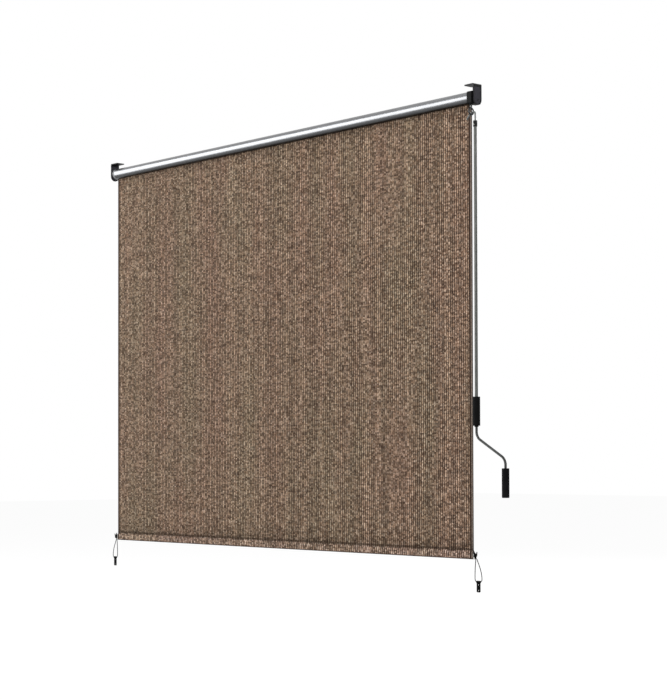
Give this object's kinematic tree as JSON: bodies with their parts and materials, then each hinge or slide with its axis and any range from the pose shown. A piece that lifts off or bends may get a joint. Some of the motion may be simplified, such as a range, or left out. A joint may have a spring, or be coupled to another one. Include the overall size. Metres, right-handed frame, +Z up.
{
  "type": "roller blind",
  "caption": "Crank-operated outdoor roller blind with ribbed woven cloth, worm-drive housing, detachable hooked crank, weighted hem and tie-down cords with clips.",
  "frame": {"origin": "middle of the two screw holes on top of the crank-side bracket, in the plane screwed to the soffit", "axes": "+X along the tube towards the crank side, +Y towards the wall behind the cloth, +Z up, out of the bracket tops"},
  "size_m": [2.688, 0.06, 1.982],
  "materials": {
    "bracket_paint": "satin",
    "housing_plastic": "matte",
    "screw_steel": "satin",
    "plated_steel": "zinc plated",
    "shade_fabric": "woven, matte",
    "tube_paint": "satin",
    "spline_plastic": "matte",
    "plug_plastic": "matte",
    "bush_plastic": "matte",
    "gear_plastic": "matte",
    "eye_steel": "satin black",
    "hook_steel": "satin",
    "collar_paint": "satin",
    "rod_paint": "satin",
    "grip_plastic": "matte",
    "cap_plastic": "matte",
    "tie_cord": "braided",
    "clip_plastic": "satin"
  },
  "bodies": {
    "frame": {"drive_bracket": "bracket_paint", "idler_bracket": "bracket_paint", "idler_pin": "plated_steel", "gear_housing": "housing_plastic", "housing_cover": "housing_plastic", "cover_screws": "screw_steel", "housing_screw": "screw_steel", "shade_cloth": "shade_fabric"},
    "roller": {"roller_tube": "tube_paint", "cloth_spline": "spline_plastic", "drive_plug": "plug_plastic", "idler_plug": "plug_plastic", "idler_bush": "bush_plastic", "worm_wheel": "gear_plastic"},
    "crank_drive": {"worm": "plated_steel", "drive_eye": "eye_steel", "eye_pin": "plated_steel", "crank_hook": "hook_steel", "crank_collar": "collar_paint", "collar_pin": "plated_steel", "crank_rod": "rod_paint", "crank_arm": "rod_paint", "arm_pin": "plated_steel", "grip_stop": "grip_plastic", "grip_nut": "plated_steel"},
    "upper_grip": {"upper_grip": "grip_plastic"},
    "lower_grip": {"lower_grip": "grip_plastic", "grip_cap": "grip_plastic"},
    "hem": {"hem_pocket": "shade_fabric", "hem_bar": "plated_steel", "hem_cap_right": "cap_plastic", "hem_cap_left": "cap_plastic", "tie_knot_right": "tie_cord", "tie_knot_left": "tie_cord", "tie_cord_right": "tie_cord", "tie_cord_left": "tie_cord", "tie_clip_right": "clip_plastic", "tie_clip_left": "clip_plastic"}
  },
  "joints": [
    {"name": "hem_lift", "type": "slide", "parent": "frame", "child": "hem", "axis": [0, 0, 1], "range_m": [0, 1.7], "deforming": ["shade_cloth"]},
    {"name": "worm_turn", "type": "hinge", "parent": "frame", "child": "crank_drive", "pos_m": [0.0115, -0.019, -0.051], "axis": [0, 0, 1], "range_deg": [-24481, 0]},
    {"name": "roller_turn", "type": "hinge", "parent": "frame", "child": "roller", "pos_m": [0, 0, -0.051], "axis": [1, 0, 0], "range_deg": [-3498, 0]},
    {"name": "upper_grip_spin", "type": "hinge", "parent": "crank_drive", "child": "upper_grip", "pos_m": [0.0335, -0.019, -1.2], "axis": [0, 0, 1], "continuous": true},
    {"name": "lower_grip_spin", "type": "hinge", "parent": "crank_drive", "child": "lower_grip", "pos_m": [0.1865, -0.019, -1.5], "axis": [0, 0, 1], "continuous": true}
  ],
  "couplings": [
    {"joint": "worm_turn", "follows": "hem_lift", "rad_per_m": -251.33},
    {"joint": "roller_turn", "follows": "hem_lift", "rad_per_m": -35.904}
  ]
}
